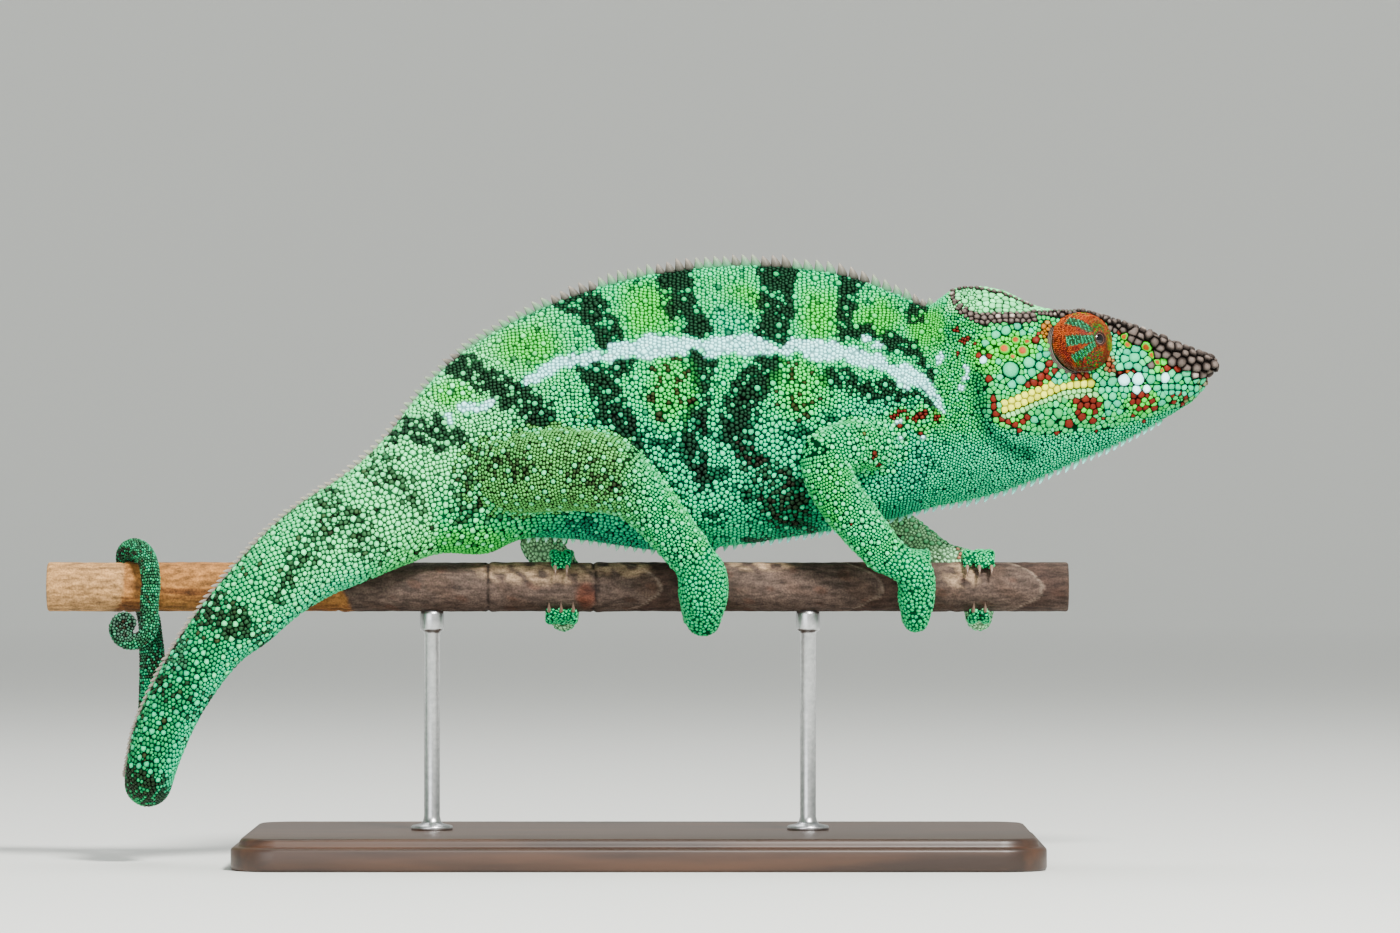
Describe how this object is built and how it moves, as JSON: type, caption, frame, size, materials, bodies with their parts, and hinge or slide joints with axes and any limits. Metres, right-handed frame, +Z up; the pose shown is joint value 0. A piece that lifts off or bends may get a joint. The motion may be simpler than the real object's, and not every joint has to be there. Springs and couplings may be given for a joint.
{
  "type": "panther chameleon",
  "caption": "Life-size still model of a green barred chameleon gripping a cut cane, on a plain wooden stand with steel rods.",
  "frame": {"origin": "centre of the stand base's underside, on the floor", "axes": "+X towards the snout, along the cane; +Y to the animal's left; +Z up"},
  "size_m": [0.293, 0.104, 0.152],
  "materials": {
    "skin": "beaded scales, blue-green to yellow-green with near-black bars, a white side stripe and rust spots",
    "casque": "hard grey-brown ridge scales with pale mint plates between",
    "eye": "rust and green granular turret round a wet black pupil",
    "cane": "dry grey-brown bark with pale patches, tan bare wood at one end",
    "stand_wood": "dark stained hardwood, satin",
    "stand_steel": "satin"
  },
  "bodies": {
    "root": {"belly": "skin", "casque": "casque", "chest": "skin", "eye_left": "eye", "eye_right": "eye", "fore_left_foot": "skin", "fore_left_lower": "skin", "fore_left_upper": "skin", "fore_right_foot": "skin", "fore_right_lower": "skin", "fore_right_upper": "skin", "head": "skin", "hind_left_foot": "skin", "hind_left_lower": "skin", "hind_left_upper": "skin", "hind_right_foot": "skin", "hind_right_lower": "skin", "hind_right_upper": "skin", "lower_jaw": "skin", "neck": "skin", "pelvis": "skin", "perch": "cane", "stand_base": "stand_wood", "stand_rod_front": "stand_steel", "stand_rod_rear": "stand_steel", "tail_base": "skin", "tail_bend": "skin", "tail_curl": "skin", "tail_hook": "skin", "tail_middle": "skin"}
  },
  "joints": []
}
